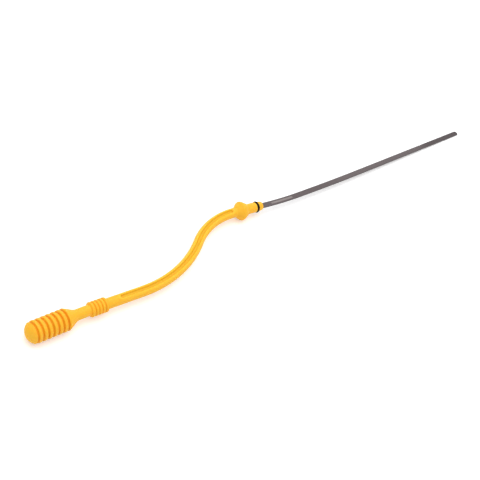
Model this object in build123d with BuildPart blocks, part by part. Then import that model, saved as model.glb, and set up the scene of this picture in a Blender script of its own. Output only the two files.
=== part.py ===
from build123d import *
from math import asin, degrees, radians
import os

# Engine oil dipstick, lying on a flat surface as it comes to rest. Lengths are millimetres, angles degrees.
# The origin is the centre of the stop face, +X points down the oil tube and +Z points up.
# The bends of the stem lie in the XY plane.

# Grip: domed end with ribs, and a cone down to the stem
grip_diameter = 18.2
grip_grooves = 7
grip_pitch = 4.39
grip_groove_floor = 1.2
grip_groove_wall = 0.4
grip_groove_depth = 1.85
dome_height = 5.0
dome_edge_drop = 0.3
cone_length = 9.0
cone_blend = 9.0
shoulder_land = 0.75
shoulder_round = 2.0

# Stem: two bends in a row, a straight shank, and a plain stretch that cants the grip
stem_diameter = 9.0
neck_run_length = 13.0
neck_bend_radius = 77.2
neck_bend_angle = 42.8
far_bend_radius = 117.8
far_bend_angle = 40.0
shank_length = 35.4
plain_length = 9.7
cant_angle = 2.6
foot_length = 3.0

# Ribbed band round the shank
band_diameter = 12.3
band_ribs = 5
band_pitch = 3.05
band_groove_floor = 0.5
band_groove_wall = 0.5
band_groove_depth = 0.8

# Flutes along the bends, one on each side of a web
flute_width = 3.8
flute_start = 4.8
flute_run = 20.6
web_thickness = 3.0

# Stop collar with a cone on either side, then the neck and nose, which plug the tube
collar_diameter = 17.2
collar_land = 2.0
collar_round = 2.5
collar_blend = 2.0
front_cone_length = 5.1
back_cone_length = 4.7
stop_face_diameter = 11.9
neck_diameter = 9.5
lip_diameter = 9.2
nose_diameter = 8.0
nose_reach = 18.2
nose_chamfer = 0.6

# Sealing ring, its round section drawn with flats, and its groove
ring_setback = 6.2
ring_section = 2.2
ring_flats = 8
ring_bore = 6.2
ring_clearance = 0.02
ring_side_gap = 0.2

# Blade: a flat strip that bends to one side, with a narrower tang held in the neck
blade_width = 5.6
blade_thickness = 1.2
tang_start = -2.0
tang_width = 4.2
tang_hole_diameter = 2.2
tang_hole_position = 4.0
tang_shoulder_depth = 2.4
root_run = 0.4
near_bend_radius = 484.0
near_bend_angle = 5.65
far_set_radius = 3430.0
far_set_angle = 1.6
reach_length = 175.1
tip_flat = 0.8
notch_radius = 0.9
low_mark = 29.9
high_mark = 69.5


def groove_outline(floor_start, floor, wall, rib_radius, depth):
    """Return the four points of one groove in a turned outline, whose floor starts at a place on the axis."""
    floor_radius = rib_radius - depth
    return [
        (floor_start - wall, rib_radius),
        (floor_start, floor_radius),
        (floor_start + floor, floor_radius),
        (floor_start + floor + wall, rib_radius),
    ]


# Route of the stem, from the stop face back to the grip
band_length = band_ribs * band_pitch - band_groove_floor
cant_radius = plain_length / radians(cant_angle)
lead_angle = degrees(flute_start / neck_bend_radius)
with BuildLine() as stem_route:
    neck_run = Line((0, 0), (-neck_run_length, 0))
    lead_bend = JernArc(neck_run @ 1, neck_run % 1, neck_bend_radius, lead_angle)
    neck_bend = JernArc(lead_bend @ 1, lead_bend % 1, neck_bend_radius, neck_bend_angle - lead_angle)
    far_bend = JernArc(neck_bend @ 1, neck_bend % 1, far_bend_radius, -far_bend_angle)
    shank = Line(far_bend @ 1, far_bend @ 1 + (far_bend % 1) * (shank_length + band_length))
    plain = JernArc(shank @ 1, shank % 1, cant_radius, cant_angle)
    foot = Line(plain @ 1, plain @ 1 + (plain % 1) * foot_length)

# Middle line of the blade, drawn flat: its plane droops until the tip lies as low as the grip's ribs
with BuildLine() as blade_line:
    root = Line((tang_start, 0), (nose_reach + root_run, 0))
    near_bend = JernArc(root @ 1, root % 1, near_bend_radius, near_bend_angle)
    far_set = JernArc(near_bend @ 1, near_bend % 1, far_set_radius, far_set_angle)
    reach = Line(far_set @ 1, far_set @ 1 + (far_set % 1) * reach_length)
tip_drop = grip_diameter / 2 - blade_thickness / 2
droop_angle = degrees(asin(tip_drop / (reach @ 1).X))
blade_plane = Plane.XY.rotated((0, droop_angle, 0))

# Blade
edge_offset = (reach % 1).rotate(Axis.Z, 90) * blade_width / 2
tang_length = nose_reach - tang_shoulder_depth - tang_start
tang_cut = (blade_width - tang_width) / 2
with BuildPart() as blade:
    with BuildSketch(blade_plane) as blade_outline:
        trace(blade_line.line, line_width=blade_width)
        tip_corners = blade_outline.vertices().sort_by(Axis.X)[-2:]
        fillet(tip_corners, radius=(blade_width - tip_flat) / 2)

        # Notches in both edges at the low and high oil levels
        for mark in (low_mark, high_mark):
            level = reach @ 1 - (reach % 1) * mark
            with Locations(level - edge_offset, level + edge_offset):
                Circle(notch_radius, mode=Mode.SUBTRACT)

        # Tang: narrower than the strip, with a hole for the plastic to flow through
        with Locations((tang_start, -blade_width / 2), (tang_start, blade_width / 2)):
            Rectangle(tang_length * 2, tang_cut * 2, mode=Mode.SUBTRACT)
        with Locations((tang_hole_position, 0)):
            Circle(tang_hole_diameter / 2, mode=Mode.SUBTRACT)
    extrude(amount=blade_thickness / 2, both=True)

# Sealing ring
ring_position = nose_reach - ring_setback
ring_radius = ring_bore / 2 + ring_clearance + ring_section / 2
with BuildPart() as o_ring:
    with BuildSketch():
        with Locations((ring_position, ring_radius)):
            RegularPolygon(ring_section / 2, ring_flats, major_radius=False, rotation=180 / ring_flats)
    revolve(axis=Axis.X)

# Handle
stem_radius = stem_diameter / 2
with BuildPart() as handle:
    # Round stem, swept along the bends
    with BuildSketch(Plane(origin=neck_run @ 0, x_dir=(0, 1, 0), z_dir=neck_run % 0)):
        Circle(stem_radius)
    sweep(path=stem_route.line)

    # Ribbed band on the shank, turned about the shank's axis
    band_radius = band_diameter / 2
    band_points = []
    for rib in range(band_ribs + 1):
        floor_start = rib * band_pitch - band_groove_floor
        band_points += groove_outline(
            floor_start, band_groove_floor, band_groove_wall, band_radius, band_groove_depth
        )
    band_start = far_bend @ 1 + (shank % 0) * shank_length
    with BuildSketch(Plane(origin=band_start, x_dir=shank % 0, z_dir=(0, 0, 1))):
        with BuildLine():
            Polyline((0, 0), *band_points[2:-2], (band_length, 0), close=True)
        make_face()
    revolve(axis=Axis(band_start, shank % 0))

    # Grip with its cone, ribs and dome, turned about its own axis
    grip_radius = grip_diameter / 2
    dome_edge_radius = grip_radius - dome_edge_drop
    dome_radius = (dome_edge_radius**2 + dome_height**2) / (2 * dome_height)
    grip_points = []
    for groove in range(grip_grooves):
        floor_start = cone_length + shoulder_land + grip_groove_wall + groove * grip_pitch
        grip_points += groove_outline(
            floor_start, grip_groove_floor, grip_groove_wall, grip_radius, grip_groove_depth
        )
    dome_start = grip_points.pop()[0]
    with BuildSketch(Plane(origin=foot @ 1, x_dir=foot % 1, z_dir=(0, 0, 1))) as grip_outline:
        cone_foot = (0, stem_radius)
        shoulder = (cone_length, grip_radius)
        dome_edge = (dome_start, dome_edge_radius)
        dome_top = (dome_start + dome_height, 0)
        with BuildLine():
            Polyline(dome_top, (-foot_length, 0), (-foot_length, stem_radius), cone_foot, shoulder)
            Polyline(shoulder, *grip_points, dome_edge)
            RadiusArc(dome_edge, dome_top, dome_radius)
        make_face()
        fillet(grip_outline.vertices().sort_by_distance(cone_foot)[0], cone_blend)
        fillet(grip_outline.vertices().sort_by_distance(shoulder)[0], shoulder_round)
    revolve(axis=Axis(foot @ 1, foot % 1))

    # Stop collar, neck, ring groove and nose, turned about the X axis
    groove_back = ring_position - ring_section / 2 - ring_side_gap
    groove_front = ring_position + ring_section / 2 + ring_side_gap
    collar_radius = collar_diameter / 2
    land_back = -front_cone_length - collar_land
    collar_rims = [(land_back, collar_radius), (-front_cone_length, collar_radius)]
    collar_foot = (land_back - back_cone_length, stem_radius)
    nose_edge = (nose_reach, nose_diameter / 2)
    with BuildSketch() as neck_outline:
        with BuildLine():
            Polyline(
                (-neck_run_length, 0),
                (-neck_run_length, stem_radius),
                collar_foot,
                *collar_rims,
                (0, stop_face_diameter / 2),
                (0, neck_diameter / 2),
                (groove_back, neck_diameter / 2),
                (groove_back, ring_bore / 2),
                (groove_front, ring_bore / 2),
                (groove_front, lip_diameter / 2),
                nose_edge,
                (nose_reach, 0),
                close=True,
            )
        make_face()
        for rim in collar_rims:
            fillet(neck_outline.vertices().sort_by_distance(rim)[0], collar_round)
        fillet(neck_outline.vertices().sort_by_distance(collar_foot)[0], collar_blend)
        chamfer(neck_outline.vertices().sort_by_distance(nose_edge)[0], nose_chamfer)
    revolve(axis=Axis.X)

    # Flutes on the upper and lower side of the bends, with a web between them
    for side in (-1, 1):
        with BuildSketch(Plane.XY.offset(side * web_thickness / 2)):
            with BuildLine():
                add(neck_bend)
                add(far_bend)
                Line(far_bend @ 1, far_bend @ 1 + (shank % 0) * flute_run)
                offset(amount=flute_width / 2)
            make_face()
        extrude(amount=side * stem_radius, mode=Mode.SUBTRACT)

    # Pocket that the plastic leaves round the tang
    add(blade.part, mode=Mode.SUBTRACT)

handle.part.label = "handle"
o_ring.part.label = "o_ring"
blade.part.label = "blade"

os.makedirs("parts", exist_ok=True)
export_step(handle.part, "parts/handle.step")
export_step(o_ring.part, "parts/o_ring.step")
export_step(blade.part, "parts/blade.step")
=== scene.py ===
"""Engine oil dipstick, dressed around its solids for a studio picture on a plain pale floor.

Lengths in the classes are millimetres in the part's own frame: the origin is the centre of the stop
face, +X points down the oil tube and +Z points up. Meshes are made in metres.
"""

import logging
import math
from dataclasses import asdict, dataclass
from enum import Enum
from typing import Any, Sequence

import bmesh
import bpy
import numpy as np
from mathutils import Euler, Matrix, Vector


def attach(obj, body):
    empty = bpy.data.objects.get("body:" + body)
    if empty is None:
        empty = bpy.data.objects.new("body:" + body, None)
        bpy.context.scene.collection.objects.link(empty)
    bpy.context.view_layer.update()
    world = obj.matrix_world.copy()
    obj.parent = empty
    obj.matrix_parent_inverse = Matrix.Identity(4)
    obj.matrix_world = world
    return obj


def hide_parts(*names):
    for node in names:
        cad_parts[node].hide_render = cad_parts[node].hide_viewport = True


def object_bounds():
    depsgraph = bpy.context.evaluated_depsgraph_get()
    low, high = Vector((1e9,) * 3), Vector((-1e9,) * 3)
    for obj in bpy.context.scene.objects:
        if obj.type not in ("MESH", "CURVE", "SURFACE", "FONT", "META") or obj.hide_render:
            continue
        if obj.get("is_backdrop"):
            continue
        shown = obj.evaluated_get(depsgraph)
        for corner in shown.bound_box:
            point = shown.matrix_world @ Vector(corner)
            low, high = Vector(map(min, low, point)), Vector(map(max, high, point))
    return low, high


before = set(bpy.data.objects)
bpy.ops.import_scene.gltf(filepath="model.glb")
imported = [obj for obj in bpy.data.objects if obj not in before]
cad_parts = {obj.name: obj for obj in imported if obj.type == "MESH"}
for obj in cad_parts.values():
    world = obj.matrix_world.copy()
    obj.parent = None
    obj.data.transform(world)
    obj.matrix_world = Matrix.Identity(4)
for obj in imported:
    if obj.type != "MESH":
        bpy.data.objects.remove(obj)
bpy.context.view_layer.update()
LOG = logging.getLogger("dipstick")

MM = 0.001
BODY = "root"
ALONG = (1.0, 0.0, 0.0)
UPWARDS = (0.0, 0.0, 1.0)
WHITE = (1.0, 1.0, 1.0, 1.0)

Pair = tuple[float, float]
Triple = tuple[float, float, float]
Colour = tuple[float, float, float, float]
Socket = bpy.types.NodeSocket


class Turn(Enum):
    """Which way a bend of a route goes, seen from above and looking along the route."""

    LEFT = 1.0
    RIGHT = -1.0


class Trait(Enum):
    """What each station of a spine carries along to the swept mesh."""

    RUN = "run"
    GIRTH = "girth"
    SPREAD = "spread"
    RECESS = "recess"


class Across(Enum):
    """What each point of a section carries along to the swept mesh."""

    SIDE = "side"


class Pressed(Enum):
    """What each point of a swept mesh keeps of the flutes pressed into it."""

    DEPTH = "flute_depth"
    REACH = "flute_reach"


class Slot(Enum):
    """Material slots of the record."""

    PLASTIC = "handle_plastic"
    RUBBER = "ring_rubber"
    STEEL = "blade_steel"


def linear(red: int, green: int, blue: int) -> Colour:
    """Turn an 8-bit screen colour into an opaque linear one, by the curve of the sRGB standard.

    Args:
        red: The red channel, from 0 to 255.
        green: The green channel.
        blue: The blue channel.

    Returns:
        The channels in linear light, and full alpha.
    """
    full_channel = 255
    toe_end, toe_slope = 0.04045, 12.92
    offset, power = 0.055, 2.4
    channels = []
    for value in (red, green, blue):
        share = value / full_channel
        curve = ((share + offset) / (1 + offset)) ** power
        channels.append(share / toe_slope if share <= toe_end else curve)
    return (*channels, 1.0)


@dataclass
class Graph:
    """Lays nodes into one node tree."""

    tree: bpy.types.NodeTree

    @classmethod
    def cleared(cls, owner: bpy.types.Material | bpy.types.World) -> "Graph":
        """Clear the nodes of a material or a world.

        Args:
            owner: The material or the world.

        Returns:
            The layout of its node tree.
        """
        owner.use_nodes = True
        owner.node_tree.nodes.clear()
        return cls(owner.node_tree)

    def feed(self, socket: Socket, source: Any) -> None:
        """Link a socket to a source, or set its value.

        Args:
            socket: The socket to feed.
            source: A socket to link, a value to set, or None to leave the socket alone.
        """
        if isinstance(source, Socket):
            self.tree.links.new(source, socket)
        elif source is not None:
            socket.default_value = source

    def node(self, kind: str, *sources: Any, **options: Any) -> bpy.types.Node:
        """Add a node.

        Args:
            kind: The node's type name.
            sources: What each input takes, in order: a socket, a value, or None.
            options: Settings of the node itself.

        Returns:
            The new node.
        """
        node = self.tree.nodes.new(kind)
        for option, value in options.items():
            setattr(node, option, value)
        for socket, source in zip(node.inputs, sources):
            self.feed(socket, source)
        return node

    def math(self, operation: str, *sources: Any) -> Socket:
        """Add a Math node and return its result."""
        return self.node("ShaderNodeMath", *sources, operation=operation).outputs[0]

    def vector(self, operation: str, *sources: Any) -> Socket:
        """Add a Vector Math node and return its vector, or its value where it has one."""
        node = self.node("ShaderNodeVectorMath", *sources, operation=operation)
        return node.outputs["Value" if operation in ("LENGTH", "DOT_PRODUCT") else "Vector"]

    def scaled(self, vector: Any, factor: Any) -> Socket:
        """Scale a vector and return it."""
        scale = self.node("ShaderNodeVectorMath", vector, None, None, factor, operation="SCALE")
        return scale.outputs[0]

    def mixed(self, share: Any, first: Any, second: Any) -> Socket:
        """Mix two colours.

        Args:
            share: The share of the second colour.
            first: The first colour.
            second: The second colour.

        Returns:
            The mixed colour.
        """
        mix = self.node("ShaderNodeMix", data_type="RGBA")
        for name, source in (("Factor", share), ("A", first), ("B", second)):
            self.feed(mix.inputs[name], source)
        return mix.outputs["Result"]

    def ramp(
        self, source: Any, start: float, end: float, first: float = 0.0, last: float = 1.0
    ) -> Socket:
        """Go smoothly from one value to another.

        Args:
            source: What the value follows.
            start: Up to where the source gives the first value.
            end: From where the source gives the last value.
            first: The first value.
            last: The last value.

        Returns:
            The value.
        """
        range_ends = (start, end, first, last)
        ramp = self.node("ShaderNodeMapRange", source, *range_ends, interpolation_type="SMOOTHSTEP")
        return ramp.outputs[0]

    def carried(self, note: Trait | Across | Pressed) -> Socket:
        """Return a value that the mesh carries by name, for a shader."""
        return self.node("ShaderNodeAttribute", attribute_name=note.value).outputs["Fac"]

    def place(self) -> Socket:
        """Return the Object coordinates, for a shader."""
        return self.node("ShaderNodeTexCoord").outputs["Object"]

    def noise(self, place: Socket, scale: Any, detail: float) -> Socket:
        """Add a Noise Texture.

        Args:
            place: The coordinates that it reads.
            scale: How fine it is.
            detail: How many finer layers it has.

        Returns:
            Its value.
        """
        noise = self.node("ShaderNodeTexNoise", place)
        self.feed(noise.inputs["Scale"], scale)
        self.feed(noise.inputs["Detail"], detail)
        return noise.outputs[0]

    def seen(self) -> Socket:
        """Return 1 for what the camera sees, also in a reflection, and 0 for other light."""
        path = self.node("ShaderNodeLightPath").outputs
        return self.math("MAXIMUM", path["Is Camera Ray"], path["Is Glossy Ray"])

    def take(self, name: str, kind: str) -> str:
        """Declare a named input of the tree and return its identifier."""
        return self.tree.interface.new_socket(name, in_out="INPUT", socket_type=kind).identifier

    def give(self, name: str, kind: str) -> None:
        """Declare a named output of the tree."""
        self.tree.interface.new_socket(name, in_out="OUTPUT", socket_type=kind)


@dataclass(frozen=True)
class Stretch:
    """One stretch of a flat route: straight, or an arc where it turns."""

    length: float
    angle: float = 0.0

    @classmethod
    def bend(cls, radius: float, degrees: float, turn: Turn) -> "Stretch":
        """Return an arc of a radius that turns by some degrees."""
        angle = math.radians(degrees)
        return cls(radius * angle, turn.value * angle)


@dataclass
class Route:
    """A flat route of stretches, each tangent to the one before."""

    start: Pair
    heading: float
    stretches: list[Stretch]

    @property
    def length(self) -> float:
        """The length of the whole route."""
        return sum(stretch.length for stretch in self.stretches)

    def at(self, run: float) -> Pair:
        """Find a point of the route.

        Args:
            run: The length along the route.

        Returns:
            The point that lies there.
        """
        x, y = self.start
        heading = self.heading
        for stretch in self.stretches:
            part = min(run, stretch.length)
            turned = stretch.angle * part / stretch.length
            middle = heading + turned / 2
            chord = part if turned == 0 else 2 * part / turned * math.sin(turned / 2)
            x += chord * math.cos(middle)
            y += chord * math.sin(middle)
            heading += turned
            run -= part
            if run <= 0:
                break
        return x, y


@dataclass(frozen=True)
class Corner:
    """A corner of a turned outline, with the round that softens it."""

    place: float
    radius: float
    round: float = 0.0


def rounded(corners: Sequence[Corner], arc_steps: int = 7, side_share: float = 0.5) -> list[Pair]:
    """Draw the outline through some corners, with an arc at each rounded one.

    Args:
        corners: The corners in order along the axis.
        arc_steps: How many steps each arc has.
        side_share: How much of each side of a corner its arc may take.

    Returns:
        Places along the axis and radii.
    """
    points = []
    for index, corner in enumerate(corners):
        here = Vector((corner.place, corner.radius))
        if corner.round == 0 or index in (0, len(corners) - 1):
            points.append(tuple(here))
            continue
        before, after = corners[index - 1], corners[index + 1]
        back = Vector((before.place, before.radius)) - here
        ahead = Vector((after.place, after.radius)) - here
        half = back.angle(ahead) / 2
        room = side_share * min(back.length, ahead.length)
        setback = min(corner.round / math.tan(half), room)
        radius = setback * math.tan(half)
        inwards = (back.normalized() + ahead.normalized()).normalized()
        centre = here + inwards * radius / math.sin(half)
        first = here + back.normalized() * setback - centre
        last = here + ahead.normalized() * setback - centre
        sweep = first.angle_signed(last)
        for step in range(arc_steps + 1):
            turned = -sweep * step / arc_steps
            cosine, sine = math.cos(turned), math.sin(turned)
            arm = Vector((first.x * cosine - first.y * sine, first.x * sine + first.y * cosine))
            points.append(tuple(centre + arm))
    return points


@dataclass(frozen=True)
class Ribs:
    """A row of grooves round a turned piece, with a rib between each two."""

    radius: float
    grooves: int
    pitch: float
    floor: float
    wall: float
    depth: float
    crest_round: float
    floor_round: float

    @property
    def span(self) -> float:
        """The length from the first groove to the last."""
        return (self.grooves - 1) * self.pitch

    def corners(self, start: float) -> list[Corner]:
        """Draw the grooves in an outline.

        Args:
            start: Where the first groove's floor starts.

        Returns:
            Four corners for each groove.
        """
        corners = []
        floor_radius = self.radius - self.depth
        for groove in range(self.grooves):
            place = start + groove * self.pitch
            corners += [
                Corner(place - self.wall, self.radius, self.crest_round),
                Corner(place, floor_radius, self.floor_round),
                Corner(place + self.floor, floor_radius, self.floor_round),
                Corner(place + self.floor + self.wall, self.radius, self.crest_round),
            ]
        return corners

    def recess(self, radius: float) -> float:
        """Return how deep a radius lies in the grooves, as a share of their depth."""
        return min(max(self.radius - radius, 0.0) / self.depth, 1.0)


@dataclass(frozen=True)
class Station:
    """One station of a spine.

    Its girth scales the section, its spread scales only the width, and its recess is a share of depth.
    """

    point: Triple
    run: float
    girth: float = 1.0
    spread: float = 1.0
    recess: float = 0.0


@dataclass(frozen=True)
class FluteCut:
    """Flutes that run along a swept stem, above and below a web."""

    first: float
    last: float
    width: float
    web: float
    wall_height: float
    draft: float
    floor_round: float
    rim_round: float


@dataclass
class Sweep:
    """A closed mesh made by carrying a section along a spine."""

    name: str
    stations: list[Station]
    section: list[Pair]
    upright: Triple
    material: bpy.types.Material
    closed: bool = False
    capped: bool = False
    flutes: FluteCut | None = None
    sharp_angle: float = 38.0
    merge_distance: float = 0.001
    least_edge: float = 0.0001

    def build(self) -> bpy.types.Object:
        """Sweep the section along the spine.

        Returns:
            The finished object, with a plain mesh.
        """
        spine = self._chain(self.name, [station.point for station in self.stations], self.closed)
        for trait in Trait:
            scale = MM if trait is Trait.RUN else 1.0
            self._note(spine, trait, [getattr(s, trait.value) * scale for s in self.stations])
        section = self._chain(f"{self.name}_section", [(x, y, 0.0) for x, y in self.section], True)
        self._note(section, Across.SIDE, [y * MM for _, y in self.section])
        modifier = spine.modifiers.new("sweep", "NODES")
        modifier.node_group, values = self._tree(section)
        for identifier, value in values.items():
            modifier[identifier] = value
        swept = spine.evaluated_get(bpy.context.evaluated_depsgraph_get())
        mesh = bpy.data.meshes.new_from_object(swept)
        spine.modifiers.clear()
        spine.data = mesh
        bpy.data.objects.remove(section)
        self._face_outwards(mesh)
        mesh.name = self.name
        return spine

    def _chain(self, name: str, points: list[Triple], closed: bool) -> bpy.types.Object:
        """Make an object whose mesh is one chain of edges.

        Args:
            name: The object's name.
            points: The points in order, in millimetres.
            closed: Whether the last point joins the first.

        Returns:
            The object.
        """
        count = len(points)
        edges = [(index, (index + 1) % count) for index in range(count if closed else count - 1)]
        mesh = bpy.data.meshes.new(name)
        mesh.from_pydata([Vector(point) * MM for point in points], edges, [])
        chain = bpy.data.objects.new(name, mesh)
        bpy.context.scene.collection.objects.link(chain)
        return chain

    def _note(self, chain: bpy.types.Object, note: Trait | Across, values: list[float]) -> None:
        """Store a value by name on each point of a chain."""
        layer = chain.data.attributes.new(note.value, "FLOAT", "POINT")
        layer.data.foreach_set("value", values)

    def _tree(self, section: bpy.types.Object) -> tuple[bpy.types.NodeTree, dict[str, Any]]:
        """Lay the tree that sweeps the section.

        Args:
            section: The object whose chain is the section.

        Returns:
            The tree, and the values of its inputs by their identifiers.
        """
        graph = Graph(bpy.data.node_groups.new(f"{self.name}_sweep", "GeometryNodeTree"))
        graph.take("Geometry", "NodeSocketGeometry")
        graph.give("Geometry", "NodeSocketGeometry")
        values: dict[str, Any] = {
            graph.take("Section", "NodeSocketObject"): section,
            graph.take("Material", "NodeSocketMaterial"): self.material,
            graph.take("Upright", "NodeSocketVector"): self.upright,
        }
        if self.flutes:
            for name, size in asdict(self.flutes).items():
                values[graph.take(name, "NodeSocketFloat")] = size * MM
        inputs = graph.node("NodeGroupInput").outputs
        upright = inputs["Upright"]

        spine = graph.node("GeometryNodeMeshToCurve", inputs["Geometry"]).outputs[0]
        spine = graph.node("GeometryNodeSetCurveNormal", spine, None, upright, mode="FREE").outputs[0]
        position = graph.node("GeometryNodeInputPosition").outputs[0]
        run, girth, spread = (
            graph.node("GeometryNodeInputNamedAttribute", trait.value, data_type="FLOAT").outputs[0]
            for trait in (Trait.RUN, Trait.GIRTH, Trait.SPREAD)
        )
        capture = graph.node("GeometryNodeCaptureAttribute", spine)
        capture.capture_items.new("VECTOR", "Centre")
        for trait in (Trait.RUN, Trait.SPREAD):
            capture.capture_items.new("FLOAT", trait.value)
        for socket, source in zip(capture.inputs[1:], (position, run, spread)):
            graph.feed(socket, source)
        spine, centre, ring_run, ring_spread = capture.outputs[:4]

        info = graph.node("GeometryNodeObjectInfo", inputs["Section"])
        profile = graph.node("GeometryNodeMeshToCurve", info.outputs["Geometry"]).outputs[0]
        shape = graph.node("GeometryNodeCurveToMesh", spine, profile, girth, self.capped).outputs[0]

        arm = graph.vector("SUBTRACT", position, centre)
        height = graph.vector("DOT_PRODUCT", arm, upright)
        sideways = graph.vector("SUBTRACT", arm, graph.scaled(upright, height))
        offset = graph.scaled(sideways, graph.math("SUBTRACT", ring_spread, 1.0))
        shape = graph.node("GeometryNodeSetPosition", shape, None, None, offset).outputs[0]
        if self.flutes:
            shape = self._cut_flutes(graph, shape, inputs, position, centre, ring_run)
        merge_distance = self.merge_distance * MM
        shape = graph.node("GeometryNodeMergeByDistance", shape, None, merge_distance).outputs[0]
        shape = graph.node("GeometryNodeSetShadeSmooth", shape).outputs[0]
        shape = graph.node("GeometryNodeRealizeInstances", shape).outputs[0]
        shape = graph.node("GeometryNodeSetMaterial", shape, None, inputs["Material"]).outputs[0]
        graph.node("NodeGroupOutput", shape)
        return graph.tree, values

    def _cut_flutes(
        self,
        graph: Graph,
        shape: Socket,
        inputs: Any,
        position: Socket,
        centre: Socket,
        run: Socket,
    ) -> Socket:
        """Press the flutes into a swept stem that lies flat, and note how each point of it lies to them.

        Args:
            graph: The tree's layout.
            shape: The swept stem.
            inputs: The tree's inputs, with the flute's sizes.
            position: Where each point is.
            centre: The spine's point of each point's ring.
            run: The length along the spine of each point's ring.

        Returns:
            The stem with its flutes.
        """
        level_part = (1.0, 1.0, 0.0)
        arm = graph.vector("MULTIPLY", graph.vector("SUBTRACT", position, centre), level_part)
        beside = graph.vector("LENGTH", arm)
        before = graph.math("SUBTRACT", inputs["first"], run)
        past = graph.math("MAXIMUM", before, graph.math("SUBTRACT", run, inputs["last"]))
        beyond = graph.math("MAXIMUM", past, 0.0)
        reach = graph.vector("LENGTH", graph.node("ShaderNodeCombineXYZ", beside, beyond).outputs[0])
        half_width = graph.math("DIVIDE", inputs["width"], 2.0)
        half_floor = graph.math("SUBTRACT", half_width, inputs["draft"])
        slope = graph.math("DIVIDE", inputs["wall_height"], inputs["draft"])
        half_web = graph.math("DIVIDE", inputs["web"], 2.0)
        wall = graph.math("MULTIPLY_ADD", graph.math("SUBTRACT", reach, half_floor), slope, half_web)
        flute = graph.math("SMOOTH_MAX", half_web, wall, inputs["floor_round"])
        x, y, z = graph.node("ShaderNodeSeparateXYZ", position).outputs
        surface = graph.math("ABSOLUTE", z)
        level = graph.math("SMOOTH_MIN", surface, flute, inputs["rim_round"])
        depth = graph.math("SUBTRACT", surface, level)
        for note, value in ((Pressed.DEPTH, depth), (Pressed.REACH, reach)):
            stored = graph.node("GeometryNodeStoreNamedAttribute", shape, None, note.value, value)
            shape = stored.outputs[0]
        height = graph.math("MULTIPLY", level, graph.math("SIGN", z))
        pressed = graph.node("ShaderNodeCombineXYZ", x, y, height).outputs[0]
        return graph.node("GeometryNodeSetPosition", shape, None, pressed).outputs[0]

    def _face_outwards(self, mesh: bpy.types.Mesh) -> None:
        """Turn the faces outwards and mark the sharp edges.

        Args:
            mesh: The swept mesh.
        """
        shape = bmesh.new()
        shape.from_mesh(mesh)
        bmesh.ops.dissolve_degenerate(shape, edges=shape.edges[:], dist=self.least_edge * MM)
        bmesh.ops.recalc_face_normals(shape, faces=shape.faces[:])
        shape.to_mesh(mesh)
        shape.free()
        mesh.set_sharp_from_angle(angle=math.radians(self.sharp_angle))


@dataclass(frozen=True)
class SurfaceGrain:
    """The fine grain and the broad patches that every finish shares."""

    grain_detail: float = 3.0
    patch_detail: float = 2.0
    grain_share: float = 0.4
    patch_share: float = 0.6
    mixed_range: Pair = (0.35, 0.65)

    def build(self) -> bpy.types.NodeTree:
        """Lay the shader group.

        Returns:
            The group, to be placed in each material with its own values.
        """
        graph = Graph(bpy.data.node_groups.new("surface_grain", "ShaderNodeTree"))
        graph.take("Stretch", "NodeSocketVector")
        for name in ("Grain Scale", "Patch Scale", "Roughness Low", "Roughness High"):
            graph.take(name, "NodeSocketFloat")
        for name in ("Grain", "Patches", "Roughness"):
            graph.give(name, "NodeSocketFloat")
        inputs = graph.node("NodeGroupInput").outputs
        stretched = graph.vector("MULTIPLY", graph.place(), inputs["Stretch"])
        grain = graph.noise(stretched, inputs["Grain Scale"], self.grain_detail)
        patches = graph.noise(stretched, inputs["Patch Scale"], self.patch_detail)
        broad = graph.math("MULTIPLY", patches, self.patch_share)
        mixed = graph.math("MULTIPLY_ADD", grain, self.grain_share, broad)
        limits = (inputs["Roughness Low"], inputs["Roughness High"])
        roughness = graph.node("ShaderNodeMapRange", mixed, *self.mixed_range, *limits).outputs[0]
        graph.node("NodeGroupOutput", grain, patches, roughness)
        return graph.tree


@dataclass(frozen=True, kw_only=True)
class Finish:
    """What every finish of the dipstick has: its name, two tones and the grain of its surface."""

    name: str
    tone: Colour
    deep_tone: Colour
    roughness: Pair
    grain_scale: float
    patch_scale: float
    grain_height: float
    stretch: Triple = (1.0, 1.0, 1.0)

    def material(self, grain: bpy.types.NodeTree) -> bpy.types.Material:
        """Make the material, with its grain, its relief and its shader.

        Args:
            grain: The shared group of grain.

        Returns:
            The material.
        """
        material = bpy.data.materials.new(self.name)
        graph = Graph.cleared(material)
        settings = (self.stretch, self.grain_scale, self.patch_scale, *self.roughness)
        texture = graph.node("ShaderNodeGroup", *settings, node_tree=grain).outputs
        bump = graph.node("ShaderNodeBump")
        graph.feed(bump.inputs["Distance"], self.grain_height * MM)
        graph.feed(bump.inputs["Height"], self.relief(graph, texture["Grain"]))
        shader = graph.node("ShaderNodeBsdfPrincipled")
        sources = {
            "Base Color": self.colour(graph, texture["Grain"], texture["Patches"]),
            "Roughness": texture["Roughness"],
            "Normal": bump.outputs[0],
            **self.constants(),
        }
        for name, source in sources.items():
            graph.feed(shader.inputs[name], source)
        graph.node("ShaderNodeOutputMaterial", shader.outputs[0])
        return material

    def constants(self) -> dict[str, Any]:
        """Return the shader's plain values, by the names of its inputs."""
        return {}

    def colour(self, graph: Graph, grain: Socket, patches: Socket) -> Socket:
        """Mix the two tones by the broad patches and return the colour."""
        return graph.mixed(patches, self.tone, self.deep_tone)

    def relief(self, graph: Graph, grain: Socket) -> Socket:
        """Return the height of the surface, in shares of the grain's height."""
        return grain


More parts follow.
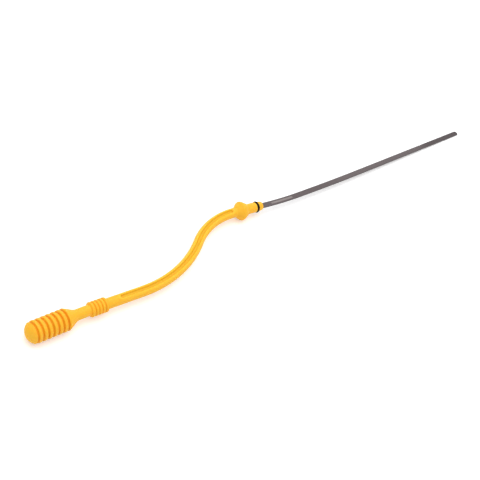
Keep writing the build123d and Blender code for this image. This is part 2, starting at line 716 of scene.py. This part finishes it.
@dataclass(frozen=True, kw_only=True)
class MouldedPlastic(Finish):
    """Satin moulded plastic, with the fine line where the two halves of its mould met."""

    # Painted shade: a deeper tint in the grooves of the band and the grip, where shade falls.
    painted_groove_shade: Colour
    groove_shade_share: float = 0.8
    # Painted shade: a deeper tint on the flute's floor, fading in between the two flute depths.
    painted_flute_shade: Colour
    flute_depths: Pair = (0.6, 2.0)
    flute_shade_share: float = 0.55
    # Painted light: a paler tint on the rails beside the flute, where light falls on them.
    painted_rail_light: Colour
    rail_reach: float = 2.1
    rail_fade: Pair = (0.3, 2.3)
    rail_light_share: float = 0.75
    specular: float = 0.3
    subsurface: float = 0.22
    subsurface_radius: Triple = (1.0, 0.35, 0.08)
    subsurface_depth: float = 1.6
    parting_width: float = 0.12
    parting_height: float = 2.0

    def constants(self) -> dict[str, Any]:
        """Set the sheen, and the light that goes a little way in.

        Returns:
            The shader's plain values, by the names of its inputs.
        """
        return {
            "Specular IOR Level": self.specular,
            "Subsurface Weight": self.subsurface,
            "Subsurface Radius": self.subsurface_radius,
            "Subsurface Scale": self.subsurface_depth * MM,
        }

    def relief(self, graph: Graph, grain: Socket) -> Socket:
        """Raise the parting line, which runs all round at the height of the frame's origin.

        Args:
            graph: The material's layout.
            grain: The fine grain.

        Returns:
            The height of the surface, in shares of the grain's height.
        """
        height = graph.node("ShaderNodeSeparateXYZ", graph.place()).outputs["Z"]
        away = graph.math("ABSOLUTE", height)
        line = graph.ramp(away, 0.0, self.parting_width * MM, self.parting_height, 0.0)
        return graph.math("ADD", grain, line)

    def colour(self, graph: Graph, grain: Socket, patches: Socket) -> Socket:
        """Paint shade into the grooves and onto the flute's floor as deeper tints, and paint light onto
        the rails beside the flute as a paler tint.

        Args:
            graph: The material's layout.
            grain: The fine grain, not used here.
            patches: The broad patches.

        Returns:
            The colour of the moulding.
        """
        # Painted shade in the grooves, as strong as each point lies deep in them.
        recess = graph.math("MULTIPLY", graph.carried(Trait.RECESS), self.groove_shade_share)
        shallow, deep = (depth * MM for depth in self.flute_depths)
        # Painted shade on the flute's floor, fading in with the depth pressed into the stem.
        flute = graph.ramp(graph.carried(Pressed.DEPTH), shallow, deep)
        # Painted light on the rails, strongest at rail_reach from the flute's middle line and fading out
        # as the flute deepens.
        away = graph.math("SUBTRACT", graph.carried(Pressed.REACH), self.rail_reach * MM)
        near, far = (distance * MM for distance in self.rail_fade)
        beside = graph.ramp(graph.math("ABSOLUTE", away), near, far, self.rail_light_share, 0.0)
        rail = graph.math("MULTIPLY", beside, graph.math("SUBTRACT", 1.0, flute))
        floor = graph.math("MULTIPLY", flute, self.flute_shade_share)
        # Mix in the painted shade of the grooves, then the painted light on the rails, then the painted
        # shade on the flute's floor.
        colour = graph.mixed(recess, super().colour(graph, grain, patches), self.painted_groove_shade)
        colour = graph.mixed(rail, colour, self.painted_rail_light)
        return graph.mixed(floor, colour, self.painted_flute_shade)


@dataclass(frozen=True, kw_only=True)
class SealRubber(Finish):
    """Black moulded rubber with a soft sheen."""

    specular: float = 0.12

    def constants(self) -> dict[str, Any]:
        """Return the plain value of the sheen."""
        return {"Specular IOR Level": self.specular}


@dataclass(frozen=True, kw_only=True)
class StripSteel(Finish):
    """Dark satin strip steel, drawn lengthwise, with a plain etched panel and an oiled end."""

    metallic: float = 0.85
    streak_share: float = 0.5
    etched_tone: Colour
    etched_start: float = 32.4
    etched_end: float = 60.8
    etched_half_width: float = 1.05
    etched_fade: float = 1.2
    wear_scale: float = 700.0
    wear_detail: float = 2.0
    wear_stretch: Triple = (0.2, 1.0, 1.0)
    wear_range: Pair = (0.35, 0.65)
    worn_share: float = 0.6
    # Painted shade along both edges of the strip, where its rolled edges turn away from the light.
    edge_start: float = 1.6
    edge_end: float = 2.6
    edge_shade_share: float = 0.75
    oiled_start: float = 250.0
    oiled_end: float = 285.0
    oiled_share: float = 0.9
    # The strip is darker towards its root, fading out between these runs.
    root_fade_start: float = 90.0
    root_fade_end: float = 170.0
    root_share: float = 0.62

    def constants(self) -> dict[str, Any]:
        """Return the plain value of the metal."""
        return {"Metallic": self.metallic}

    def colour(self, graph: Graph, grain: Socket, patches: Socket) -> Socket:
        """Darken the strip towards its root, paint shade along its edges, and darken the oiled end, by
        the strip's own run and side.

        Args:
            graph: The material's layout.
            grain: The fine grain, which is streaks here.
            patches: The broad patches, not used here.

        Returns:
            The colour of the blade.
        """
        run = graph.carried(Trait.RUN)
        side = graph.math("ABSOLUTE", graph.carried(Across.SIDE))
        # Darker towards the root.
        root = graph.ramp(run, self.root_fade_start * MM, self.root_fade_end * MM, self.root_share, 0.0)
        # Painted shade along both edges.
        edge = graph.ramp(side, self.edge_start * MM, self.edge_end * MM, 0.0, self.edge_shade_share)
        oil = graph.ramp(run, self.oiled_start * MM, self.oiled_end * MM, 0.0, self.oiled_share)
        dark = graph.math("MULTIPLY", grain, self.streak_share)
        for shade in (root, edge, oil):
            dark = graph.math("MAXIMUM", dark, shade)
        steel = graph.mixed(dark, self.tone, self.deep_tone)
        return graph.mixed(self._panel(graph, run, side), steel, self.etched_tone)

    def _panel(self, graph: Graph, run: Socket, side: Socket) -> Socket:
        """Lay out the etched panel, worn thin in streaks along the strip.

        Args:
            graph: The material's layout.
            run: The length along the strip.
            side: The distance from the strip's middle line.

        Returns:
            A share from 0 on bare steel to 1 in the panel.
        """
        fade = self.etched_fade * MM
        start, end = self.etched_start * MM, self.etched_end * MM
        begun = graph.ramp(run, start, start + fade)
        along = graph.math("SUBTRACT", begun, graph.ramp(run, end - fade, end))
        half = self.etched_half_width * MM
        across = graph.ramp(side, half - fade / 2, half + fade / 2, 1.0, 0.0)
        place = graph.vector("MULTIPLY", graph.place(), self.wear_stretch)
        wear = graph.noise(place, self.wear_scale, self.wear_detail)
        worn = graph.node("ShaderNodeMapRange", wear, *self.wear_range, self.worn_share, 1.0).outputs[0]
        return graph.math("MULTIPLY", graph.math("MULTIPLY", along, across), worn)


@dataclass
class Handle:
    """The moulding: ribbed grip, S-bent fluted stem, ribbed band, stop collar, neck and nose."""

    finish: MouldedPlastic
    nose_reach: float = 18.2
    nose_radius: float = 4.0
    nose_round: float = 0.7
    lip_radius: float = 4.6
    lip_round: float = 0.25
    groove_front: float = 13.3
    groove_back: float = 10.7
    groove_radius: float = 3.1
    groove_round: float = 0.15
    neck_radius: float = 4.75
    neck_root_round: float = 0.4
    stop_face_radius: float = 5.95
    stop_face_round: float = 0.35
    collar_crest: float = 6.1
    collar_peak: float = 9.36
    collar_round: float = 2.7
    collar_back: float = 11.8
    collar_blend: float = 2.0
    stem_radius: float = 4.5
    neck_run: float = 13.0
    neck_bend: Pair = (77.2, 42.8)
    far_bend: Pair = (117.8, 40.0)
    shank_length: float = 35.4
    plain_length: float = 9.7
    cant: float = 2.6
    foot_length: float = 3.0
    band: Ribs = Ribs(
        radius=6.15, grooves=6, pitch=3.05, floor=0.5,
        wall=0.5, depth=0.8, crest_round=0.35, floor_round=0.2,
    )
    grip: Ribs = Ribs(
        radius=9.07, grooves=7, pitch=4.39, floor=1.2,
        wall=0.4, depth=1.85, crest_round=0.8, floor_round=0.3,
    )
    cone_length: float = 9.0
    cone_blend: float = 9.0
    shoulder_land: float = 0.75
    shoulder_round: float = 1.0
    dome_height: float = 4.99
    dome_edge_drop: float = 0.3
    dome_edge_round: float = 0.5
    dome_steps: int = 14
    flute_width: float = 3.8
    flute_start: float = 4.8
    flute_run: float = 20.6
    web_thickness: float = 4.6
    flute_draft: float = 0.8
    flute_floor_round: float = 1.0
    flute_rim_round: float = 1.5
    rim_zone: Pair = (0.72, 1.3)
    section_steps: tuple[int, int, int] = (5, 10, 12)
    station_step: float = 1.5
    fine_step: float = 0.15
    least_step: float = 0.01
    place_digits: int = 4

    def build(self, grain: bpy.types.NodeTree) -> bpy.types.Object:
        """Sweep the moulding along its bends.

        Args:
            grain: The shared group of grain.

        Returns:
            The finished moulding.
        """
        route = self._route()
        outline = self._outline()
        places = self._places(outline)
        radii = np.interp(places, [place for place, _ in outline], [radius for _, radius in outline])
        stations = []
        for place, radius in zip(places, radii):
            point = (*route.at(place), 0.0)
            # The recess share sets how much painted shade each point of a groove gets.
            recess = self._recess(place, radius)
            stations.append(Station(point, place, girth=max(radius, 0.0), recess=recess))
        material = self.finish.material(grain)
        sweep = Sweep("handle_moulding", stations, self._section(), UPWARDS, material)
        sweep.flutes = self._flutes()
        return sweep.build()

    def _flutes(self) -> FluteCut:
        """Size the flutes, whose walls reach from the web to the stem's surface.

        Returns:
            The flutes.
        """
        rim_height = math.sqrt(self.stem_radius**2 - (self.flute_width / 2) ** 2)
        first, last = self._flute_span()
        return FluteCut(
            first=first,
            last=last,
            width=self.flute_width,
            web=self.web_thickness,
            wall_height=rim_height - self.web_thickness / 2,
            draft=self.flute_draft,
            floor_round=self.flute_floor_round,
            rim_round=self.flute_rim_round,
        )

    def _route(self) -> Route:
        """Lay the route from the end of the nose to the top of the dome.

        Returns:
            The route.
        """
        grip_length = self.cone_length + self._ribs_length() + self.dome_height
        return Route(
            (self.nose_reach, 0.0),
            math.pi,
            [
                Stretch(self.nose_reach + self.neck_run),
                Stretch.bend(*self.neck_bend, Turn.LEFT),
                Stretch.bend(*self.far_bend, Turn.RIGHT),
                Stretch(self.shank_length + self._band_length()),
                Stretch(self.plain_length, math.radians(self.cant)),
                Stretch(self.foot_length + grip_length),
            ],
        )

    def _band_length(self) -> float:
        """Return the length of the ribbed band."""
        return self.band.span - self.band.floor

    def _ribs_length(self) -> float:
        """Return the length from the cone's shoulder to the edge of the dome."""
        return self.shoulder_land + self.grip.span + self.grip.floor + 2 * self.grip.wall

    def _bends_length(self) -> float:
        """Return the length of the two bends."""
        return sum(radius * math.radians(angle) for radius, angle in (self.neck_bend, self.far_bend))

    def _flute_span(self) -> Pair:
        """Return where the flute's middle line starts and ends along the route."""
        bends_start = self.nose_reach + self.neck_run
        return bends_start + self.flute_start, bends_start + self._bends_length() + self.flute_run

    def _band_start(self) -> float:
        """Return where the ribbed band starts along the route."""
        return self.nose_reach + self.neck_run + self._bends_length() + self.shank_length

    def _shoulder(self) -> float:
        """Return where the grip's cone ends along the route."""
        band_end = self._band_start() + self._band_length()
        return band_end + self.plain_length + self.foot_length + self.cone_length

    def _recess(self, place: float, radius: float) -> float:
        """Find how deep a point of the outline lies in a groove of the band or the grip.

        Args:
            place: Where the point lies along the route.
            radius: Its radius.

        Returns:
            A share of the groove's depth.
        """
        rows = (
            (self.band, self._band_start(), self._band_length()),
            (self.grip, self._shoulder(), self._ribs_length()),
        )
        for ribs, start, length in rows:
            if self.fine_step < place - start < length - self.fine_step:
                return ribs.recess(radius)
        return 0.0

    def _outline(self) -> list[Pair]:
        """Draw the turned outline of the moulding.

        Returns:
            Places along the route and radii, with each place past the one before.
        """
        band_start = self._band_start()
        band_end = band_start + self._band_length()
        shoulder = self._shoulder()
        # The band's outer grooves keep only their inner walls, and the dome ends the grip's last groove
        corners = [
            *self._neck(),
            Corner(band_start, self.stem_radius, self.band.floor_round),
            *self.band.corners(band_start - self.band.floor)[2:-2],
            Corner(band_end, self.stem_radius, self.band.floor_round),
            Corner(shoulder - self.cone_length, self.stem_radius, self.cone_blend),
            Corner(shoulder, self.grip.radius, self.shoulder_round),
            *self.grip.corners(shoulder + self.shoulder_land + self.grip.wall)[:-1],
            *self._dome(shoulder + self._ribs_length()),
        ]
        steady: list[Pair] = []
        for place, radius in rounded(corners):
            floor = steady[-1][0] + self.least_step if steady else place
            steady.append((max(place, floor), radius))
        return steady

    def _neck(self) -> list[Corner]:
        """Draw the nose, the ring's groove, the neck and the stop collar.

        Returns:
            Their corners, from the end of the nose.
        """
        reach = self.nose_reach
        return [
            Corner(0.0, 0.0),
            Corner(0.0, self.nose_radius, self.nose_round),
            Corner(reach - self.groove_front, self.lip_radius, self.lip_round),
            Corner(reach - self.groove_front, self.groove_radius, self.groove_round),
            Corner(reach - self.groove_back, self.groove_radius, self.groove_round),
            Corner(reach - self.groove_back, self.neck_radius, self.lip_round),
            Corner(reach, self.neck_radius, self.neck_root_round),
            Corner(reach, self.stop_face_radius, self.stop_face_round),
            Corner(reach + self.collar_crest, self.collar_peak, self.collar_round),
            Corner(reach + self.collar_back, self.stem_radius, self.collar_blend),
        ]

    def _dome(self, edge: float) -> list[Corner]:
        """Draw the dome, a part of a ball.

        Args:
            edge: Where its edge lies along the route.

        Returns:
            The corners from its edge to its top.
        """
        edge_radius = self.grip.radius - self.dome_edge_drop
        ball = (edge_radius**2 + self.dome_height**2) / (2 * self.dome_height)
        centre = edge + self.dome_height - ball
        opening = math.asin(edge_radius / ball)
        corners = [Corner(edge, edge_radius, self.dome_edge_round)]
        for step in range(1, self.dome_steps + 1):
            angle = opening * (1 - step / self.dome_steps)
            corners.append(Corner(centre + ball * math.cos(angle), ball * math.sin(angle)))
        return corners

    def _places(self, outline: list[Pair]) -> list[float]:
        """Choose every place along the route that needs a station.

        Args:
            outline: The turned outline.

        Returns:
            The places in order.
        """
        first, last = self._flute_span()
        margin = self.flute_width / 2 + self.flute_rim_round
        places = {round(place, self.place_digits) for place, _ in outline}
        places |= set(np.arange(self.nose_reach + self.neck_run, last + margin, self.station_step))
        for start, end in ((first - margin, first), (last, last + margin)):
            places |= set(np.arange(start, end, self.fine_step))
        ordered = sorted(places)
        kept = [ordered[0]]
        for place in ordered[1:]:
            if place - kept[-1] > self.least_step / 2:
                kept.append(place)
        return kept

    def _section(self) -> list[Pair]:
        """Draw the round section, 1 mm in radius, with most points near the flutes' rims.

        Returns:
            The points of the section.
        """
        rim = math.asin(self.flute_width / 2 / self.stem_radius)
        limits = (0.0, *(rim * share for share in self.rim_zone), math.pi / 2)
        quarter = [
            low + (high - low) * step / count
            for low, high, count in zip(limits, limits[1:], self.section_steps)
            for step in range(count)
        ]
        half = quarter + [math.pi - angle for angle in reversed(quarter + [math.pi / 2])][:-1]
        angles = half + [math.pi + angle for angle in half]
        return [(math.cos(angle), math.sin(angle)) for angle in angles]


@dataclass
class SealRing:
    """The rubber ring in the groove of the neck, with the faint seam of its mould."""

    finish: SealRubber
    position: float = 12.0
    centre_radius: float = 4.22
    section_radius: float = 1.12
    half_width: float = 1.27
    seam_height: float = 0.02
    seam_sharpness: int = 24
    turns: int = 128
    section_steps: int = 36

    def build(self, grain: bpy.types.NodeTree) -> bpy.types.Object:
        """Sweep the ring round the neck.

        Args:
            grain: The shared group of grain.

        Returns:
            The finished ring.
        """
        stations = []
        for step in range(self.turns):
            angle = 2 * math.pi * step / self.turns
            y, z = self.centre_radius * math.cos(angle), self.centre_radius * math.sin(angle)
            stations.append(Station((self.position, y, z), 0.0))
        section = []
        for step in range(self.section_steps):
            angle = 2 * math.pi * step / self.section_steps
            beside_seam = 1 - abs(math.cos(angle)) ** self.seam_sharpness
            radius = self.section_radius - self.seam_height * beside_seam
            section.append((self.half_width * math.sin(angle), radius * math.cos(angle)))
        material = self.finish.material(grain)
        return Sweep("seal_ring", stations, section, ALONG, material, closed=True).build()


@dataclass
class Blade:
    """The flat steel strip: it bends to one side, with notches, a round tip and a hidden tang."""

    finish: StripSteel
    width: float = 5.6
    thickness: float = 1.2
    edge_round: float = 0.28
    edge_steps: int = 5
    tang_start: float = -2.0
    tang_width: float = 4.2
    tang_shoulder: float = 15.8
    root_end: float = 18.6
    near_bend: Pair = (484.0, 5.65)
    far_set: Pair = (3430.0, 1.6)
    reach: float = 175.1
    tip_flat: float = 0.8
    tip_chamfer: float = 0.15
    notch_radius: float = 0.9
    marks: Pair = (29.9, 69.5)
    tip_drop: float = 8.5
    station_step: float = 4.0
    arc_steps: int = 16
    least_step: float = 0.01

    def build(self, grain: bpy.types.NodeTree) -> bpy.types.Object:
        """Sweep the strip along its middle line, drooping to rest on its tip.

        Args:
            grain: The shared group of grain.

        Returns:
            The finished strip.
        """
        route = self._route()
        droop = math.asin(self.tip_drop / route.at(route.length)[0])
        upright = (math.sin(droop), 0.0, math.cos(droop))
        tip_girth = 1 - 2 * self.tip_chamfer / self.thickness
        stations = []
        for place in self._places(route.length):
            x, y = route.at(place)
            point = (x * math.cos(droop), y, -x * math.sin(droop))
            spread = self._half_width(place, route.length) / (self.width / 2)
            girth = 1.0 if place < route.length - self.least_step else tip_girth
            stations.append(Station(point, place, girth=girth, spread=spread))
        material = self.finish.material(grain)
        return Sweep("blade_strip", stations, self._section(), upright, material, capped=True).build()

    def _route(self) -> Route:
        """Lay the middle line of the strip, drawn flat.

        Returns:
            The route from the tang to the tip.
        """
        return Route(
            (self.tang_start, 0.0),
            0.0,
            [
                Stretch(self.root_end - self.tang_start),
                Stretch.bend(*self.near_bend, Turn.LEFT),
                Stretch.bend(*self.far_set, Turn.LEFT),
                Stretch(self.reach),
            ],
        )

    def _half_width(self, place: float, length: float) -> float:
        """Measure the strip from its middle line to its edge.

        Args:
            place: Where along the strip to measure.
            length: The length of the whole strip.

        Returns:
            Half the strip's width there.
        """
        full = self.width / 2
        if place <= self.tang_shoulder - self.tang_start:
            return self.tang_width / 2
        corner = full - self.tip_flat / 2
        left = length - place
        if left < corner:
            return self.tip_flat / 2 + math.sqrt(corner**2 - (corner - left) ** 2)
        for mark in self.marks:
            away = abs(left - mark)
            if away < self.notch_radius:
                return full - math.sqrt(self.notch_radius**2 - away**2)
        return full

    def _places(self, length: float) -> list[float]:
        """Choose every place along the strip that needs a station.

        Args:
            length: The length of the whole strip.

        Returns:
            The places in order.
        """
        shoulder = self.tang_shoulder - self.tang_start
        places = set(np.linspace(0.0, length, round(length / self.station_step)))
        places |= {shoulder, shoulder + self.least_step, length - self.tip_chamfer}
        corner = (self.width - self.tip_flat) / 2
        for step in range(1, self.arc_steps):
            angle = math.pi / 2 * step / self.arc_steps
            places.add(length - corner * (1 - math.cos(angle)))
        for mark in self.marks:
            for step in range(self.arc_steps + 1):
                angle = math.pi * step / self.arc_steps
                places.add(length - mark + self.notch_radius * math.cos(angle))
        return sorted(places)

    def _section(self) -> list[Pair]:
        """Draw the strip's section, with its rolled edges.

        Returns:
            The points of the section.
        """
        points = []
        face_reach = self.thickness / 2 - self.edge_round
        side_reach = self.width / 2 - self.edge_round
        for quarter, (face, side) in enumerate(((1, 1), (-1, 1), (-1, -1), (1, -1))):
            centre = Vector((face * face_reach, side * side_reach))
            for step in range(self.edge_steps + 1):
                angle = math.pi / 2 * (quarter + step / self.edge_steps)
                arm = Vector((math.cos(angle), math.sin(angle))) * self.edge_round
                points.append(tuple(centre + arm))
        return points


@dataclass
class Studio:
    """The floor, the light and the camera.

    The floor's size and fade, the lamp's size and the near clip are metres.
    """

    floor_colour: Colour = (0.92, 0.92, 0.92, 1.0)
    floor_size: float = 6.0
    floor_lift: float = 0.30
    fade_start: float = 0.45
    fade_end: float = 1.6
    sky_strength: float = 0.69
    key_place: Triple = (0.0, 140.0, 1075.0)
    key_size: float = 1.5
    key_watts: float = 9.4
    aim: Triple = (-26.26, -29.97, 0.0)
    distance: float = 815.86
    heading: float = 52.62
    elevation: float = 44.0
    roll: float = 26.5
    lens: float = 69.0
    sensor: float = 36.0
    near_clip: float = 0.01

    def build(self, floor_level: float) -> None:
        """Set up the floor, the light and the camera.

        Args:
            floor_level: The height that the dipstick rests on, in metres.
        """
        scene = bpy.context.scene
        scene.view_settings.view_transform = "Standard"
        self._floor(scene, floor_level)
        self._sky(scene)
        self._key_lamp(scene)
        self._camera(scene)

    def _floor(self, scene: bpy.types.Scene, level: float) -> None:
        """Lay a wide pale floor that keeps the shadow and fades to white far from the dipstick.

        Args:
            scene: The scene that it is in.
            level: Its height, in metres.
        """
        mesh = bpy.data.meshes.new("floor")
        half = self.floor_size / 2
        corners = [(x * half, y * half, level) for x, y in ((-1, -1), (1, -1), (1, 1), (-1, 1))]
        mesh.from_pydata(corners, [], [(0, 1, 2, 3)])
        floor = bpy.data.objects.new("floor", mesh)
        scene.collection.objects.link(floor)
        material = bpy.data.materials.new("pale_floor")
        graph = Graph.cleared(material)
        diffuse = graph.node("ShaderNodeBsdfDiffuse", self.floor_colour).outputs[0]
        away = graph.vector("LENGTH", graph.place())
        fade = graph.ramp(away, self.fade_start, self.fade_end, self.floor_lift, 1.0)
        lift = graph.math("MULTIPLY", graph.seen(), fade)
        glow = graph.node("ShaderNodeEmission", WHITE, lift).outputs[0]
        both = graph.node("ShaderNodeAddShader", diffuse, glow).outputs[0]
        graph.node("ShaderNodeOutputMaterial", both)
        mesh.materials.append(material)
        floor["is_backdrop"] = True

    def _sky(self, scene: bpy.types.Scene) -> None:
        """Light everything softly from all round, with white where the sky itself is seen.

        Args:
            scene: The scene to light.
        """
        world = bpy.data.worlds.new("soft_sky")
        graph = Graph.cleared(world)
        strength = graph.math("MAXIMUM", graph.seen(), self.sky_strength)
        background = graph.node("ShaderNodeBackground", WHITE, strength).outputs[0]
        graph.node("ShaderNodeOutputWorld", background)
        scene.world = world

    def _key_lamp(self, scene: bpy.types.Scene) -> None:
        """Hang a square soft lamp that points at the dipstick.

        Args:
            scene: The scene to light.
        """
        lamp = bpy.data.lights.new("key", "AREA")
        lamp.size = self.key_size
        lamp.energy = self.key_watts
        hung = bpy.data.objects.new("key", lamp)
        hung.location = Vector(self.key_place) * MM
        ahead = Vector(self.aim) * MM - hung.location
        hung.rotation_euler = ahead.to_track_quat("-Z", "Y").to_euler()
        scene.collection.objects.link(hung)

    def _camera(self, scene: bpy.types.Scene) -> None:
        """Place the camera at the photograph's viewing angle.

        Args:
            scene: The scene that it looks at.
        """
        tilt = math.radians(90 - self.elevation)
        turn = Euler((tilt, 0.0, -math.radians(self.heading)), "XYZ").to_matrix()
        lean = Euler((0.0, 0.0, math.radians(self.roll)), "XYZ").to_matrix()
        turned = turn @ lean
        lens = bpy.data.cameras.new("camera")
        lens.lens = self.lens
        lens.sensor_width = self.sensor
        lens.clip_start = self.near_clip
        camera = bpy.data.objects.new("camera", lens)
        camera.matrix_world = turned.to_4x4()
        camera.location = Vector(self.aim) * MM + turned @ Vector((0.0, 0.0, self.distance * MM))
        scene.collection.objects.link(camera)
        scene.camera = camera


PLASTIC = MouldedPlastic(
    name="yellow_moulding",
    tone=linear(255, 191, 46),
    deep_tone=linear(253, 185, 40),
    roughness=(0.5, 0.6),
    grain_scale=2600.0,
    patch_scale=45.0,
    grain_height=0.012,
    # Painted shade for the grooves and the flute, painted light for the rails.
    painted_groove_shade=linear(240, 159, 8),
    painted_flute_shade=linear(208, 168, 8),
    painted_rail_light=linear(255, 203, 56),
)
RUBBER = SealRubber(
    name="black_seal",
    tone=linear(40, 23, 12),
    deep_tone=linear(29, 18, 11),
    roughness=(0.55, 0.7),
    grain_scale=5000.0,
    patch_scale=700.0,
    grain_height=0.01,
)
STEEL = StripSteel(
    name="dark_strip",
    tone=linear(114, 105, 106),
    deep_tone=linear(86, 78, 79),
    roughness=(0.36, 0.48),
    grain_scale=3000.0,
    patch_scale=120.0,
    grain_height=0.006,
    stretch=(0.03, 1.0, 1.0),
    etched_tone=linear(139, 131, 130),
)


def main() -> None:
    """Build the dipstick's pieces in order, then the studio round them."""
    logging.basicConfig(level=logging.INFO, format="%(name)s: %(message)s")
    grain = SurfaceGrain().build()
    pieces = (
        (Handle(PLASTIC).build(grain), "handle", Slot.PLASTIC),
        (SealRing(RUBBER).build(grain), "o_ring", Slot.RUBBER),
        (Blade(STEEL).build(grain), "blade", Slot.STEEL),
    )
    for piece, node, slot in pieces:
        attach(piece, BODY)
        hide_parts(node)
        LOG.info("%s stands for %s with %d faces", piece.name, node, len(piece.data.polygons))
    visual_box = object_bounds()
    Studio().build(visual_box[0][2])


if __name__ == "__main__":
    main()
